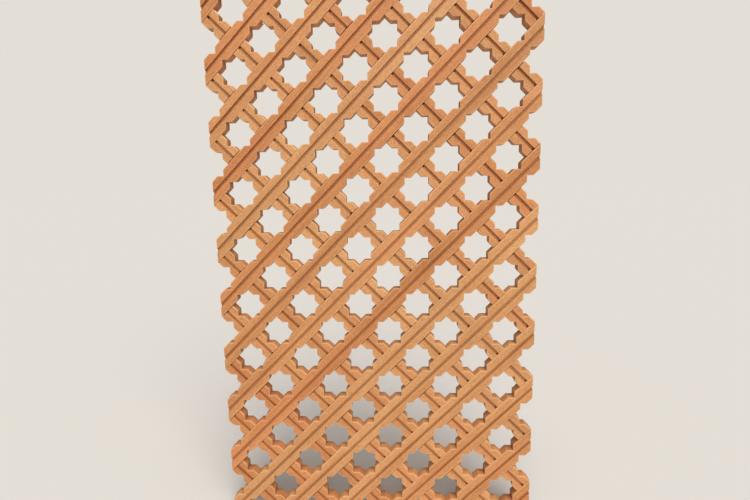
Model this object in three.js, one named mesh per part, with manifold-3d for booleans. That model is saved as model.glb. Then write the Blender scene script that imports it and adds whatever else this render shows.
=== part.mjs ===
// A mashrabiya lattice: a pierced wooden window screen of two sets of slats that cross at right angles, on the slant.
// The slats are halved over each other, so both sets lie flush in one thickness.
// Each slat has a right-angled notch in both edges, midway between crossings. Four notches and the four corners
// between the slats make each opening an eight-pointed star. A narrow groove runs along the middle of each front face.
// The panel is sawn square through its outer crossings, so half stars and half crossings line its four edges.
//
// Frame: X to the right, Z up, Y from the front of the screen to its back.
// The origin is the middle of the back face. The front face is at y = -SLAT_THICKNESS.

import * as THREE from "three";
import { mergeVertices } from "three/addons/utils/BufferGeometryUtils.js";
import Module from "manifold-3d";

const wasm = await Module();
wasm.setup();

// Driving dimensions, in millimetres
const PITCH = 60; // between the centre lines of neighbouring slats, measured square to them
const SLAT_WIDTH = 25;
const SLAT_THICKNESS = 16;
const NOTCH_DEPTH = 6.5; // from a slat's edge to the corner of a notch, and half of the notch's mouth
const GROOVE_WIDTH = 4.2;
const GROOVE_DEPTH = 3;
const JOINT_GAP = 0.3; // between a slat and the walls and floor of the housing that it lies in

// The panel's size, counted in steps from one crossing to the next star along a level row.
// Its lower left corner is the middle of a crossing.
const COLUMNS = 11;
const ROWS = 19;

// What follows from them
const STEP = PITCH / Math.SQRT2;
const PANEL_WIDTH = COLUMNS * STEP;
const PANEL_HEIGHT = ROWS * STEP;
const HOUSING_WIDTH = SLAT_WIDTH + 2 * JOINT_GAP;
const HOUSING_DEPTH = (SLAT_THICKNESS + JOINT_GAP) / 2;
const OVERCUT = 2; // how far a cut runs past the wood, so that no skin is left

// The two sets of slats, seen from the front. Both are modelled lying along x, with z across them, and turned about y.
// The front set climbs to the right and runs unbroken over the cross set, which climbs to the left.
// cornerOffset is how far the line of the set's slats through the panel's lower left corner lies from its middle.
const FRONT_SET = {
  name: "front_slat",
  turn: -Math.PI / 4,
  cornerOffset: (PANEL_WIDTH - PANEL_HEIGHT) / 2 / Math.SQRT2,
  colour: 0xd89a66,
};
const CROSS_SET = {
  name: "cross_slat",
  turn: Math.PI / 4,
  cornerOffset: (-PANEL_WIDTH - PANEL_HEIGHT) / 2 / Math.SQRT2,
  colour: 0xd3915f,
};

// Turns a closed three.js geometry into a solid that can be cut.
function solidOf(geometry) {
  geometry.deleteAttribute("normal");
  geometry.deleteAttribute("uv");
  const merged = mergeVertices(geometry);
  return new wasm.Manifold(
    new wasm.Mesh({
      numProp: 3,
      vertProperties: merged.attributes.position.array,
      triVerts: new Uint32Array(merged.index.array),
    }),
  );
}

function geometryOf(solid) {
  const mesh = solid.getMesh();
  const geometry = new THREE.BufferGeometry();
  geometry.setAttribute("position", new THREE.BufferAttribute(mesh.vertProperties, 3));
  geometry.setIndex(new THREE.BufferAttribute(mesh.triVerts, 1));
  geometry.computeVertexNormals();
  return geometry;
}

// A box between two opposite corners.
function block([x0, y0, z0], [x1, y1, z1]) {
  const geometry = new THREE.BoxGeometry(x1 - x0, y1 - y0, z1 - z0);
  geometry.translate((x0 + x1) / 2, (y0 + y1) / 2, (z0 + z1) / 2);
  return solidOf(geometry);
}

// Where a slat's centre line enters and leaves the panel, along the slat.
// "offset" is how far that line lies from the panel's middle, measured along the set's own z.
function centreLine(set, offset) {
  const side = set === FRONT_SET ? offset : -offset;
  const halfWidth = PANEL_WIDTH / Math.SQRT2;
  const halfHeight = PANEL_HEIGHT / Math.SQRT2;
  return {
    offset,
    start: Math.max(side - halfWidth, -side - halfHeight),
    end: Math.min(side + halfWidth, -side + halfHeight),
  };
}

// The slats of one set, from the lowest up, counted from the line through the panel's lower left corner.
// A slat that would only clip a corner of the panel is left out.
function layOut(set) {
  const slats = [];
  for (let count = -COLUMNS; count <= COLUMNS + ROWS; count += 1) {
    const slat = centreLine(set, set.cornerOffset + count * PITCH);
    if (slat.end - slat.start > PITCH / 2) {
      slats.push(slat);
    }
  }
  return slats;
}

// A slat before its ends are sawn: a strip with a pair of notches midway between each two crossings.
function notchedStrip(slat, crossing) {
  const from = slat.start - SLAT_WIDTH;
  const to = slat.end + SLAT_WIDTH;
  const edge = SLAT_WIDTH / 2;
  const notches = [];
  const skipped = Math.ceil((from + NOTCH_DEPTH - crossing) / PITCH - 0.5);
  for (let at = crossing + (skipped + 0.5) * PITCH; at < to - NOTCH_DEPTH; at += PITCH) {
    notches.push(at);
  }

  const outline = new THREE.Shape();
  outline.moveTo(from, -edge);
  for (const at of notches) {
    outline.lineTo(at - NOTCH_DEPTH, -edge);
    outline.lineTo(at, -edge + NOTCH_DEPTH);
    outline.lineTo(at + NOTCH_DEPTH, -edge);
  }
  outline.lineTo(to, -edge);
  outline.lineTo(to, edge);
  for (const at of notches.reverse()) {
    outline.lineTo(at + NOTCH_DEPTH, edge);
    outline.lineTo(at, edge - NOTCH_DEPTH);
    outline.lineTo(at - NOTCH_DEPTH, edge);
  }
  outline.lineTo(from, edge);
  outline.closePath();

  const geometry = new THREE.ExtrudeGeometry(outline, { depth: SLAT_THICKNESS, bevelEnabled: false });
  geometry.rotateX(Math.PI / 2); // lays the outline in x and z, with the back at y = 0
  return solidOf(geometry);
}

// The block that the saw leaves of the whole panel, as it lies around this slat.
function sawnPanel(set, slat) {
  const geometry = new THREE.BoxGeometry(PANEL_WIDTH, SLAT_THICKNESS + 2 * OVERCUT, PANEL_HEIGHT);
  geometry.translate(0, -SLAT_THICKNESS / 2, 0);
  geometry.rotateY(-set.turn);
  geometry.translate(0, 0, -slat.offset);
  return solidOf(geometry);
}

// The groove along the middle of the front face.
function groove(slat) {
  const half = GROOVE_WIDTH / 2;
  return block(
    [slat.start - SLAT_WIDTH, -SLAT_THICKNESS - OVERCUT, -half],
    [slat.end + SLAT_WIDTH, -SLAT_THICKNESS + GROOVE_DEPTH, half],
  );
}

// The housing that takes the slat crossing here: half of the thickness, cut from the back or from the front.
function housing(at, fromBack) {
  const half = HOUSING_WIDTH / 2;
  const past = SLAT_WIDTH / 2 + OVERCUT;
  const front = fromBack ? -HOUSING_DEPTH : -SLAT_THICKNESS - OVERCUT;
  const back = fromBack ? OVERCUT : -SLAT_THICKNESS + HOUSING_DEPTH;
  return block([at - half, front, -past], [at + half, back, past]);
}

// One set of slats as named meshes. The group turns them, and each one's offset places it.
function buildSet(set, slats, others) {
  const group = new THREE.Group();
  group.rotation.y = set.turn;
  const crossings = others.map((other) => (set === FRONT_SET ? other.offset : -other.offset));
  slats.forEach((slat, index) => {
    let wood = notchedStrip(slat, crossings[0]).intersect(sawnPanel(set, slat)).subtract(groove(slat));
    for (const at of crossings) {
      if (at > slat.start - PITCH / 2 && at < slat.end + PITCH / 2) {
        wood = wood.subtract(housing(at, set === FRONT_SET));
      }
    }
    const material = new THREE.MeshStandardMaterial({ color: set.colour, roughness: 0.62, metalness: 0 });
    const mesh = new THREE.Mesh(geometryOf(wood), material);
    mesh.name = `${set.name}_${String(index + 1).padStart(2, "0")}`;
    mesh.position.z = slat.offset;
    group.add(mesh);
  });
  return group;
}

const frontSlats = layOut(FRONT_SET);
const crossSlats = layOut(CROSS_SET);
const screen = new THREE.Group();
screen.add(buildSet(FRONT_SET, frontSlats, crossSlats));
screen.add(buildSet(CROSS_SET, crossSlats, frontSlats));

export default screen;
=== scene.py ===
import math
import random

import bmesh
import bpy
from mathutils import Matrix, Vector


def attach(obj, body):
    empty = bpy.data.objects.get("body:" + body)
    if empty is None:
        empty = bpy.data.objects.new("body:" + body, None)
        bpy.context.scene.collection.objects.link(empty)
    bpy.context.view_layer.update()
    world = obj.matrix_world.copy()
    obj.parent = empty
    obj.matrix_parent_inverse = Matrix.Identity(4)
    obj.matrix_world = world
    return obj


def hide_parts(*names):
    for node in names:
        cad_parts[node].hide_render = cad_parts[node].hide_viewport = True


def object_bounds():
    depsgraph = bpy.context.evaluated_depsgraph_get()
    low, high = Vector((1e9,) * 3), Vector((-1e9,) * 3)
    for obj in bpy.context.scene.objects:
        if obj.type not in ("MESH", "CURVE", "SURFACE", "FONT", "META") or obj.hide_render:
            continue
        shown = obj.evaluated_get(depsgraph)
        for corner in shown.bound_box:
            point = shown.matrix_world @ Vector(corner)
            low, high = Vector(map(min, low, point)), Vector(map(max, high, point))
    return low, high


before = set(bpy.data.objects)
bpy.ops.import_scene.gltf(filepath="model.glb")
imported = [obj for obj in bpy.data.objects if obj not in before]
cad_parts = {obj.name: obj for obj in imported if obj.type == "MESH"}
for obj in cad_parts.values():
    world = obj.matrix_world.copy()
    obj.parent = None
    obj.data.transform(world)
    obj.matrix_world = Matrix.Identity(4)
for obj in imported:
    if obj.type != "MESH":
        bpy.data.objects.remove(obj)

cad_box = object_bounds()

# The camera
# It stands about 0.63 m in front of the screen, a little above and to the right of its middle, and looks down
# at it. The photograph is 750 pixels wide. Its lens isn't known, and a focal length of 430 of those pixels is
# one that agrees with it.
PHOTO_WIDTH = 750
FOCAL_LENGTH = 430
SENSOR_WIDTH = 36.0

camera_data = bpy.data.cameras.new("camera")
camera_data.sensor_width = SENSOR_WIDTH
camera_data.lens = FOCAL_LENGTH / PHOTO_WIDTH * SENSOR_WIDTH
camera_data.shift_x = 0.01653
camera_data.shift_y = -0.01347
camera = bpy.data.objects.new("camera", camera_data)
camera.location = (0.0254, -0.6348, 0.1201)
camera.rotation_euler = (math.radians(82.16), math.radians(1.28), math.radians(3.60))
bpy.context.scene.collection.objects.link(camera)
bpy.context.scene.camera = camera

# The front slats
# Sticks of straight-grained softwood, planed all round, that climb to the right and run unbroken across the
# face. Each is notched by saw in both edges, grooved along its face with one pass of a narrow cutter, and
# housed to half its thickness from the back, where the cross slats lie in it.
low, high = (Vector(corner) for corner in cad_box)
HALF_WIDTH = (high.x - low.x) / 2
HALF_HEIGHT = (high.z - low.z) / 2
THICKNESS = high.y - low.y
PITCH = 0.060  # between the middle lines of neighbouring slats
SLAT_WIDTH = 0.025
NOTCH_DEPTH = 0.0065  # and half of the notch's mouth
GROOVE_WIDTH = 0.0042
GROOVE_DEPTH = 0.003
GROOVE_TAPER = 0.94  # the width of the groove's floor, as a share of its mouth
JOINT_GAP = 0.0003
FRONT_TURN = -math.pi / 4

# The hand's strays, each as the most that it can be
SLAT_STRAY = 0.0004  # a slat off its line
NOTCH_STRAY = 0.0005  # a notch off its place, or too deep or shallow
EDGE_STRAY = 0.00008  # the plane's chatter in an edge
GROOVE_STRAY = 0.0002
GAP_SHARES = (0.6, 1.4)  # the least and the most of an even joint's gap, as shares of JOINT_GAP
WIDE_JOINTS = 0.35  # the share of the joints that were cut too wide
WIDE_JOINT = 0.0011  # and the most of their gap

# How the edges are rubbed and the grain is torn
ARRIS = 0.00065  # the round that rubbing leaves on a sharp edge
NOTCH_CORNER = 0.0019  # the round on a notch's outer corners
TORN_END = 0.0018  # how far the grain has torn out along the end of a housed slat's groove
TORN_SHARES = (0.7, 1.2)  # the least and the most of that length, as shares of it
TORN_FLOOR = 0.0055  # how deep the torn end lies

# The points of the mesh, and its shading
ARRIS_TURNS = (0, 30, 60, 90)  # the degrees round an arris at which it has its points
CROSSING_RINGS = (-0.35, 0.0, 0.35)  # where a slat has points within a crossing, as shares of its width
SHARP_TURN = 40  # the degrees from which an edge is shaded as sharp


def slats_of(set_name):
    return sorted(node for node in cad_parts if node.startswith(set_name))


def slat_lines(count, stray):
    """How far the middle line of each slat of a set lies from the panel's middle."""
    middle = (count - 1) / 2
    return [(number - middle) * PITCH + stray.uniform(-SLAT_STRAY, SLAT_STRAY) for number in range(count)]


def sawn_at(side, way):
    """How far along a slat the panel's edge cuts it, on the line that lies side off the panel's middle.

    way is -1 at the slat's start and 1 at its end.
    """
    return way * min(HALF_WIDTH * math.sqrt(2) + way * side, HALF_HEIGHT * math.sqrt(2) - way * side)


def edge_points(places, stray):
    """Points (along, out) of a slat's edge, each with a little chatter."""
    return [(along, out + stray.uniform(-EDGE_STRAY, EDGE_STRAY)) for along, out in places]


def notched_edge(middle, corner, stray):
    """One edge of a slat between two crossings, round its notch."""
    out = SLAT_WIDTH / 2
    depth = NOTCH_DEPTH + stray.uniform(-NOTCH_STRAY, NOTCH_STRAY)
    half_turn = math.pi / 8  # half of the turn from the edge into the notch
    tangent = corner * math.tan(half_turn)
    drop = corner * (1 - math.cos(half_turn))
    half = [
        (depth + tangent + corner, out),
        (depth + tangent, out),
        (depth + tangent - corner * math.sin(half_turn), out - drop),
        (depth - tangent * math.sqrt(0.5), out - tangent * math.sqrt(0.5)),
        (depth / 2, out - depth / 2),
    ]
    middle += stray.uniform(-NOTCH_STRAY, NOTCH_STRAY)
    places = [(-along, out) for along, out in half] + [(0, out - depth)] + list(reversed(half))
    return edge_points([(middle + along, out) for along, out in places], stray)


def shoulder(stray):
    """How far a housing's wall stands from the middle of its crossing."""
    gap = stray.uniform(*GAP_SHARES) * JOINT_GAP
    if stray.random() < WIDE_JOINTS:
        gap = stray.uniform(GAP_SHARES[1] * JOINT_GAP, WIDE_JOINT)
    return SLAT_WIDTH / 2 + gap


def front_profile(out, groove_half, floor, middle):
    """Half of a slat's front outline, as (across, depth), from the middle of its edge to the groove's floor."""
    face = -THICKNESS
    arc = [
        (out - ARRIS * (1 - math.cos(math.radians(turn))), face + ARRIS * (1 - math.sin(math.radians(turn))))
        for turn in ARRIS_TURNS
    ]
    # A point on each side of the round keeps the flats beyond it flat in the shading
    edge_point = (out, face + 4 * ARRIS)
    face_point = (out - 3 * ARRIS, face)
    groove = [(groove_half, face), (GROOVE_TAPER * groove_half, floor)]
    return [(out, middle), edge_point, *arc, face_point, *groove]


ON_THE_ROUND = range(2, 2 + len(ARRIS_TURNS))  # the places in that outline of the points on the round


def build_slat(name, line, is_front, corner, crossings, stray):
    """A slat's mesh. It is laid out level, with x along it and z across it, and then turned into its place."""
    bm = bmesh.new()
    # Marks the points on each arris's round, where a painted highlight makes the wood paler
    arris_highlight = bm.verts.layers.float.new("arris_highlight")
    in_stick = bm.verts.layers.float_vector.new("in_stick")
    housing_floor = -(THICKNESS + (JOINT_GAP if is_front else -JOINT_GAP)) / 2

    def sawn(z, way):
        return sawn_at(line + z if is_front else -line - z, way)

    def ring(upper, lower, end_way=0, groove_depth=GROOVE_DEPTH):
        """The points round the slat's section where its two edges are at (along, out) upper and lower."""
        groove_half = GROOVE_WIDTH / 2 + stray.uniform(-GROOVE_STRAY, GROOVE_STRAY) / 2
        floor = -THICKNESS + groove_depth + stray.uniform(-GROOVE_STRAY, GROOVE_STRAY)
        above = front_profile(upper[1], groove_half, floor, housing_floor)
        below = [(-z, y) for z, y in front_profile(lower[1], groove_half, floor, housing_floor)]
        back = [(upper[1], -ARRIS), (upper[1] - ARRIS, 0), (0, 0), (ARRIS - lower[1], 0), (-lower[1], -ARRIS)]
        verts = []
        for number, (z, y) in enumerate(below + [(0, floor)] + above[::-1] + back):
            share = (z + lower[1]) / (upper[1] + lower[1])
            along = sawn(z, end_way) if end_way else lower[0] + (upper[0] - lower[0]) * share
            vert = bm.verts.new((along, y, z))
            vert[arris_highlight] = 1.0 if min(number, 2 * len(above) - number) in ON_THE_ROUND else 0.0
            vert[in_stick] = (along, y, z)
            verts.append(vert)
        front_count = 2 * len(above) + 1
        return verts[:front_count], [verts[front_count - 1], *verts[front_count:], verts[0]]

    def plain_ring(along, groove_depth=GROOVE_DEPTH):
        upper, lower = (edge_points([(along, SLAT_WIDTH / 2)], stray)[0] for _ in range(2))
        return ring(upper, lower, groove_depth=groove_depth)

    def shoulder_rings(wall, inward):
        """A housing's wall, and on a cross slat the torn end of the groove before it."""
        if is_front:
            return [plain_ring(wall)]
        at_wall = plain_ring(wall, TORN_FLOOR)
        return [at_wall, plain_ring(wall + inward * stray.uniform(*TORN_SHARES) * TORN_END)]

    # Rings from the start of the slat to its end, each with what lies beyond it: full wood or a housing
    plain_end = (0, SLAT_WIDTH / 2)
    first, last = crossings[0], crossings[-1]
    bare_start = first - sawn(0, -1) > PITCH / 2
    bare_end = sawn(0, 1) - last > PITCH / 2
    stations = [(ring(plain_end, plain_end, -1), not bare_start)]
    spans = [(at, at + PITCH) for at in ([first - PITCH] if bare_start else [])]
    spans += list(zip(crossings, crossings[1:]))
    spans += [(at, at + PITCH) for at in ([last] if bare_end else [])]
    for near, far in spans:
        if near >= first:
            wall = near + shoulder(stray)
            if near == first:
                wall = max(wall, max(sawn(z, -1) for z in (-SLAT_WIDTH / 2, SLAT_WIDTH / 2)) + JOINT_GAP)
            stations += [(rings, False) for rings in shoulder_rings(wall, 1)]
        for upper, lower in zip(*(notched_edge((near + far) / 2, corner, stray) for _ in range(2))):
            stations.append((ring(upper, lower), False))
        if far <= last:
            wall = far - shoulder(stray)
            if far == last:
                wall = min(wall, min(sawn(z, 1) for z in (-SLAT_WIDTH / 2, SLAT_WIDTH / 2)) - JOINT_GAP)
            *before, at_wall = reversed(shoulder_rings(wall, -1))
            stations += [(rings, False) for rings in before] + [(at_wall, True)]
            if far < last:
                stations += [(plain_ring(far + share * SLAT_WIDTH), True) for share in CROSSING_RINGS]
    stations.append((ring(plain_end, plain_end, 1), False))

    # The skin between each two rings, and the housings' walls
    kept, cut = (0, 1) if is_front else (1, 0)
    housed_before = None
    for (here, housed), (there, _) in zip(stations, stations[1:]):
        if housed:
            loops = [(here[kept], there[kept], True)]
        else:
            loops = [(here[0], there[0], False), (here[1], there[1], False)]
        for a, b, closed in loops:
            pairs = list(zip(range(len(a)), range(1, len(a)))) + ([(len(a) - 1, 0)] if closed else [])
            for i, j in pairs:
                bm.faces.new((a[i], a[j], b[j], b[i]))
        if housed_before is not None and housed_before != housed:
            bm.faces.new(here[cut])
        housed_before = housed
    for half, bare in ((stations[0][0], bare_start), (stations[-1][0], bare_end)):
        if bare:
            tip = len(half[0]) // 2
            back_tip = len(half[1]) // 2
            bm.faces.new(half[0][: tip + 1] + half[1][back_tip:-1])
            bm.faces.new(half[0][tip:] + half[1][1 : back_tip + 1])
        else:
            bm.faces.new(half[kept])
    bmesh.ops.recalc_face_normals(bm, faces=bm.faces)
    turn = Matrix.Rotation(FRONT_TURN if is_front else -FRONT_TURN, 4, "Y")
    bm.transform(turn @ Matrix.Translation((0, 0, line)))
    mesh = bpy.data.meshes.new(name)
    bm.to_mesh(mesh)
    bm.free()
    mesh.shade_smooth()
    mesh.set_sharp_from_angle(angle=math.radians(SHARP_TURN))
    return mesh


def place_slat(name, mesh, material, node):
    """Puts a slat in the place of its solid."""
    slat = bpy.data.objects.new(name, mesh)
    bpy.context.scene.collection.objects.link(slat)
    mesh.materials.append(material)
    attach(slat, "root")
    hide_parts(node)


hand = random.Random(11)
front_nodes = slats_of("front_slat")
cross_nodes = slats_of("cross_slat")
front_lines = slat_lines(len(front_nodes), hand)
cross_lines = slat_lines(len(cross_nodes), hand)


def crossed(line, is_front, others):
    """Where the other set's slats cross this one, along it."""
    side = line if is_front else -line
    places = sorted(others) if is_front else sorted(-other for other in others)
    return [at for at in places if sawn_at(side, -1) - PITCH / 4 < at < sawn_at(side, 1) + PITCH / 4]


def add_node(tree, kind, label, settings=(), **sockets):
    """A shader node. Its sockets are given by name, or by number as in _0.

    A socket given as another node's output is linked, and any other value is set on it.
    """
    made = tree.nodes.new(kind)
    made.label = label
    for key, value in dict(settings).items():
        setattr(made, key, value)
    for key, value in sockets.items():
        socket = made.inputs[int(key[1:])] if key[1:].isdigit() else made.inputs[key.replace("_", " ")]
        if isinstance(value, bpy.types.NodeSocket):
            tree.links.new(value, socket)
        else:
            socket.default_value = value
    return made


# The wood's growth rings, and the tints that its flaws, its sawn ends and the painted shade in its groove
# multiply it by
RING_SPACING = 0.0031
RING_WAVER = 0.006  # how far the rings wander at most
RING_SHARPNESS = 2.2
RING_WEIGHT = 0.22
DRIFT_TINT = (0.86, 0.82, 0.78, 1)
MOTTLE_TINT = (0.80, 0.745, 0.66, 1)
END_GRAIN_TINT = (0.80, 0.70, 0.62, 1)
GROOVE_SHADE_TINT = (0.84, 0.79, 0.75, 1)
PORE_TINT = (0.40, 0.22, 0.12, 1)


def softwood_group():
    """Straight-grained softwood. Its growth rings are shells round a heart line that runs along the stick."""
    tree = bpy.data.node_groups.new("planed softwood", "ShaderNodeTree")
    sockets = (("Place", "Vector"), ("Along", "Vector"), ("Seed", "Float"), ("Heart across", "Float"),
               ("Heart depth", "Float"), ("Early wood", "Color"), ("Late wood", "Color"), ("Blush", "Color"))
    for label, kind in sockets:
        tree.interface.new_socket(label, in_out="INPUT", socket_type="NodeSocket" + kind)
    for label, kind in (("Colour", "Color"), ("Relief", "Float"), ("Dullness", "Float")):
        tree.interface.new_socket(label, in_out="OUTPUT", socket_type="NodeSocket" + kind)
    given = tree.nodes.new("NodeGroupInput").outputs

    def maths(operation, a, b=0.0, c=0.0, label=""):
        return add_node(tree, "ShaderNodeMath", label, {"operation": operation}, _0=a, _1=b, _2=c).outputs[0]

    def vector(operation, a, b):
        return add_node(tree, "ShaderNodeVectorMath", "", {"operation": operation}, _0=a, _1=b).outputs[0]

    def spread(value, low, high, to_low=0.0, to_high=1.0):
        """A smooth step from to_low to to_high, as the value goes from low to high."""
        made = add_node(tree, "ShaderNodeMapRange", "", {"interpolation_type": "SMOOTHSTEP"}, Value=value,
                        From_Min=low, From_Max=high, To_Min=to_low, To_Max=to_high)
        return made.outputs["Result"]

    def fibres(label, along, across, detail):
        """Noise drawn out along the stick: so many per metre along it, and across it."""
        stretched = vector("MULTIPLY", shifted, (along, across, across))
        made = add_node(tree, "ShaderNodeTexNoise", label, Vector=stretched, Scale=1.0, Detail=detail)
        return made.outputs["Fac"]

    def blend(factor, a, b, way="MIX"):
        made = add_node(tree, "ShaderNodeMix", "", {"data_type": "RGBA", "blend_type": way},
                        Factor=factor, _6=a, _7=b)
        return made.outputs[2]

    seed = add_node(tree, "ShaderNodeCombineXYZ", "seed", X=given["Seed"]).outputs[0]
    shifted = vector("ADD", given["Place"], seed)
    place = add_node(tree, "ShaderNodeSeparateXYZ", "", Vector=given["Place"]).outputs

    # Growth rings, with the dark late wood of each as a sharper line
    waver = fibres("waver", 3, 25, 1.0)
    depth = maths("SUBTRACT", place["Y"], given["Heart depth"])
    across = maths("SUBTRACT", place["Z"], given["Heart across"])
    radius = maths("SQRT", maths("ADD", maths("MULTIPLY", depth, depth), maths("MULTIPLY", across, across)))
    radius = maths("ADD", radius, maths("MULTIPLY", waver, RING_WAVER))
    rings = maths("SINE", maths("MULTIPLY", radius, 2 * math.pi / RING_SPACING))
    rings = maths("POWER", maths("MULTIPLY_ADD", rings, 0.5, 0.5), RING_SHARPNESS, label="late wood")

    # The grain: rings, fibres, streaks and bands, each noise with its weight and its level
    fine = fibres("fine fibres", 180, 2600, 2.0)
    streaks = fibres("streaks", 45, 620, 2.0)
    bands = fibres("bands", 7, 150, 1.0)
    grain = maths("MULTIPLY", rings, RING_WEIGHT)
    for noise, weight, level in ((fine, 0.30, -0.15), (streaks, 0.8, -0.30), (bands, 0.5, -0.18)):
        grain = maths("ADD", grain, maths("MULTIPLY_ADD", noise, weight, level), label="grain")
    colour = blend(grain, given["Early wood"], given["Late wood"])

    # Broad patches of another tone, and a fine mottle
    clouds = fibres("clouds", 5, 38, 1.0)
    flush = fibres("flush", 9, 70, 1.0)
    colour = blend(spread(clouds, 0.40, 0.66, 0.0, 0.75), colour, given["Blush"])
    colour = blend(spread(flush, 0.48, 0.72, 0.0, 0.55), colour, given["Late wood"])
    drift = spread(fibres("drift", 3, 14, 1.0), 0.35, 0.65, 0.0, 0.9)
    colour = blend(drift, colour, DRIFT_TINT, "MULTIPLY")
    mottle = spread(fibres("mottle", 560, 900, 1.0), 0.30, 0.70)
    colour = blend(mottle, colour, MOTTLE_TINT, "MULTIPLY")

    # Sawn ends and the notches' slopes, which cut across the grain and are darker
    facing = add_node(tree, "ShaderNodeTexCoord", "").outputs["Normal"]
    end_grain = add_node(tree, "ShaderNodeVectorMath", "", {"operation": "DOT_PRODUCT"},
                         _0=facing, _1=given["Along"]).outputs["Value"]
    end_grain = spread(maths("ABSOLUTE", end_grain), 0.35, 1.0, 0.0, 0.55)
    colour = blend(end_grain, colour, END_GRAIN_TINT, "MULTIPLY")

    # Painted shade in the groove, which darkens it, but not in the torn ends and the housings, which lie deeper
    sunk = maths("ADD", place["Y"], THICKNESS)
    inside = spread(maths("ABSOLUTE", place["Z"]), 0.53 * GROOVE_WIDTH, 0.60 * GROOVE_WIDTH, 1.0, 0.0)
    inside = maths("MULTIPLY", inside, spread(sunk, 1.1 * GROOVE_DEPTH, 1.3 * GROOVE_DEPTH, 1.0, 0.0))
    inside = maths("MULTIPLY", inside, spread(sunk, 0.0001, 0.0008), label="painted shade in the groove")
    colour = blend(inside, colour, GROOVE_SHADE_TINT, "MULTIPLY")

    # Pores, and the relief and dullness of the fibres
    pores = spread(fibres("pores", 130, 3400, 0.0), 0.66, 0.74, 0.0, 0.35)
    colour = blend(pores, colour, PORE_TINT, "MULTIPLY")
    relief = maths("ADD", maths("MULTIPLY", fine, 0.6), maths("MULTIPLY", streaks, 0.5))
    relief = maths("SUBTRACT", relief, pores)
    dullness = maths("MULTIPLY_ADD", streaks, 0.25, 0.48)
    add_node(tree, "NodeGroupOutput", "", Colour=colour, Relief=relief, Dullness=dullness)
    return tree


softwood = softwood_group()

# How a stick differs from its neighbours: it has another part of the same noise, and its own heart line
NOISE_REACH = 40
HEART_ACROSS = 0.05  # at most, to either side of the stick's middle
HEART_DEPTH = (0.02, 0.09)  # behind the stick's back

# A painted highlight that makes the wood paler on each rounded arris, and the depth of the fibres' relief
ARRIS_HIGHLIGHT_TONE = (0.86, 0.55, 0.30, 1)
ARRIS_HIGHLIGHT_SHARE = 0.28
FIBRE_RELIEF = 0.00025


def stick_wood(name, is_front, tones, stray):
    """One stick's own wood: the same group, with its heart line, tone and flaws."""
    material = bpy.data.materials.new(name)
    material.use_nodes = True
    tree = material.node_tree
    shader = tree.nodes["Principled BSDF"]
    place = add_node(tree, "ShaderNodeAttribute", "place in the stick", {"attribute_name": "in_stick"})
    arris_highlight = add_node(tree, "ShaderNodeAttribute", "arris highlight mask", {"attribute_name": "arris_highlight"})
    early, late, blush = tones
    lean = 1 if is_front else -1
    wood = add_node(tree, "ShaderNodeGroup", "", {"node_tree": softwood},
                    Place=place.outputs["Vector"], Along=(math.sqrt(0.5), 0, lean * math.sqrt(0.5)),
                    Seed=stray.uniform(0, NOISE_REACH), Heart_across=stray.uniform(-HEART_ACROSS, HEART_ACROSS),
                    Heart_depth=stray.uniform(*HEART_DEPTH), Early_wood=early, Late_wood=late, Blush=blush)
    # A painted highlight: the wood is made paler on every rounded arris
    arris_highlight_weight = add_node(tree, "ShaderNodeMath", "arris_highlight_weight", {"operation": "MULTIPLY"},
                    _0=arris_highlight.outputs["Fac"], _1=ARRIS_HIGHLIGHT_SHARE)
    colour = add_node(tree, "ShaderNodeMix", "painted arris highlight", {"data_type": "RGBA"}, Factor=arris_highlight_weight.outputs[0],
                      _6=wood.outputs["Colour"], _7=ARRIS_HIGHLIGHT_TONE)
    bump = add_node(tree, "ShaderNodeBump", "fibres", Height=wood.outputs["Relief"],
                    Distance=FIBRE_RELIEF, Strength=0.5)
    tree.links.new(colour.outputs[2], shader.inputs["Base Color"])
    tree.links.new(wood.outputs["Dullness"], shader.inputs["Roughness"])
    tree.links.new(bump.outputs["Normal"], shader.inputs["Normal"])
    shader.inputs["Specular IOR Level"].default_value = 0.35
    return material


def mixed(a, b, share):
    return [x + (y - x) * share for x, y in zip(a, b)] + [1.0]


# The batch runs from straw-coloured to a redder orange. Each end has its early wood, late wood and blush.
STRAW = [(0.715, 0.405, 0.187), (0.585, 0.277, 0.107), (0.687, 0.354, 0.162)]
RUSSET = [(0.662, 0.303, 0.122), (0.487, 0.181, 0.060), (0.619, 0.248, 0.097)]

# How far towards russet each kind of stick lies
STRAW_KIND = 0.1
BETWEEN_KIND = 0.5
RUSSET_KIND = 0.9


def tones_of(russet):
    return [mixed(a, b, russet) for a, b in zip(STRAW, RUSSET)]


def russet_share(number, straw_sticks, russet_sticks):
    """How russet a stick is. Each is of the straw-coloured kind, of the russet kind, or between the two."""
    if number in straw_sticks:
        return STRAW_KIND
    return RUSSET_KIND if number in russet_sticks else BETWEEN_KIND


# Which sticks are which follows the photograph. They are counted from 1, from the lower right corner up.
FRONT_STRAW = (4, 5, 6, 11)
FRONT_RUSSET = (1, 7, 10, 12, 14, 15)
for number, (node, line) in enumerate(zip(front_nodes, front_lines), start=1):
    mesh = build_slat(node + "_wood", line, True, NOTCH_CORNER, crossed(line, True, cross_lines), hand)
    wood = stick_wood(node + "_wood", True, tones_of(russet_share(number, FRONT_STRAW, FRONT_RUSSET)), hand)
    place_slat(node + "_wood", mesh, wood, node)

# The cross slats
# The same sticks, climbing to the left. They are housed from the front, so that the front slats lie flush in
# them, and their faces and grooves show only between the front slats. Their notches' corners are more worn.
CROSS_CORNER = 0.0027

# These are counted from 1, from the lower left corner up
CROSS_STRAW = (7, 8)
CROSS_RUSSET = (1, 2, 3, 11, 14)
for number, (node, line) in enumerate(zip(cross_nodes, cross_lines), start=1):
    mesh = build_slat(node + "_wood", line, False, CROSS_CORNER, crossed(line, False, front_lines), hand)
    wood = stick_wood(node + "_wood", False, tones_of(russet_share(number, CROSS_STRAW, CROSS_RUSSET)), hand)
    place_slat(node + "_wood", mesh, wood, node)

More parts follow.
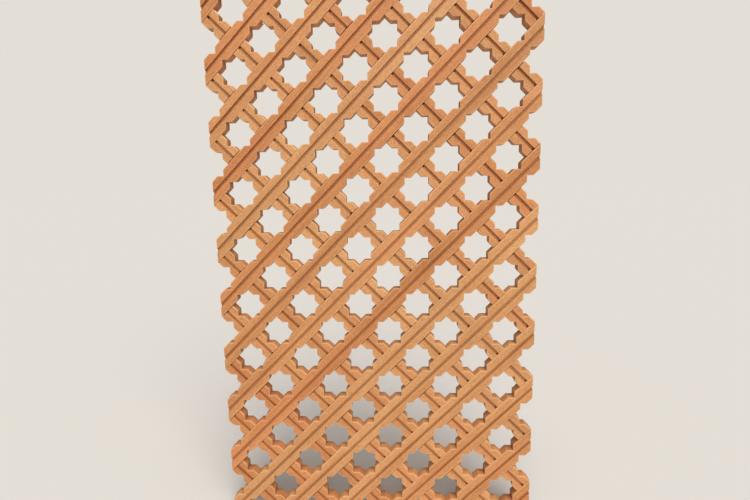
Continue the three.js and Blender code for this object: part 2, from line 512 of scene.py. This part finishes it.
# The floor and the light
# A plain pale floor under the screen. One broad soft light is in front of it, high and to its right, and
# another is almost overhead. The surroundings are as pale as the lit floor, and shed only a little light.
FLOOR_SIZE = 60
FLOOR_GAP = 0.001  # between the screen's lowest corners and the floor
FLOOR_TONE = (0.60, 0.595, 0.585, 1)
LIT_FLOOR = (0.775, 0.733, 0.674, 1)

floor_mesh = bpy.data.meshes.new("floor")
bm = bmesh.new()
bmesh.ops.create_grid(bm, x_segments=1, y_segments=1, size=FLOOR_SIZE / 2)
bm.to_mesh(floor_mesh)
bm.free()
floor = bpy.data.objects.new("floor", floor_mesh)
floor.location.z = low.z - FLOOR_GAP
bpy.context.scene.collection.objects.link(floor)
pale = bpy.data.materials.new("pale floor")
pale.use_nodes = True
pale_shader = pale.node_tree.nodes["Principled BSDF"]
pale_shader.inputs["Base Color"].default_value = FLOOR_TONE
pale_shader.inputs["Roughness"].default_value = 1.0
pale_shader.inputs["Specular IOR Level"].default_value = 0.0
floor_mesh.materials.append(pale)


def soft_light(name, height, turn, spread, strength, colour):
    """A far light, so many degrees above the level, turned from straight in front towards the right."""
    light_data = bpy.data.lights.new(name, "SUN")
    light_data.angle = math.radians(spread)
    light_data.energy = strength
    light_data.color = colour
    light = bpy.data.objects.new(name, light_data)
    light.rotation_euler = (math.radians(90 - height), 0, math.radians(turn))
    bpy.context.scene.collection.objects.link(light)


soft_light("main light", height=40, turn=15, spread=55, strength=2.55, colour=(1.0, 0.96, 0.90))
soft_light("top light", height=76, turn=15, spread=35, strength=1.8, colour=(1.0, 0.97, 0.93))

SURROUNDINGS_LIGHT = (0.22, 0.195, 0.17, 1)
world = bpy.data.worlds.new("pale surroundings")
world.use_nodes = True
tree = world.node_tree
background = tree.nodes["Background"]
seen = add_node(tree, "ShaderNodeLightPath", "seen by the camera")
tone = add_node(tree, "ShaderNodeMix", "surroundings", {"data_type": "RGBA"},
                Factor=seen.outputs["Is Camera Ray"], _6=SURROUNDINGS_LIGHT, _7=LIT_FLOOR)
tree.links.new(tone.outputs[2], background.inputs["Color"])
bpy.context.scene.world = world
bpy.context.scene.view_settings.view_transform = "Standard"
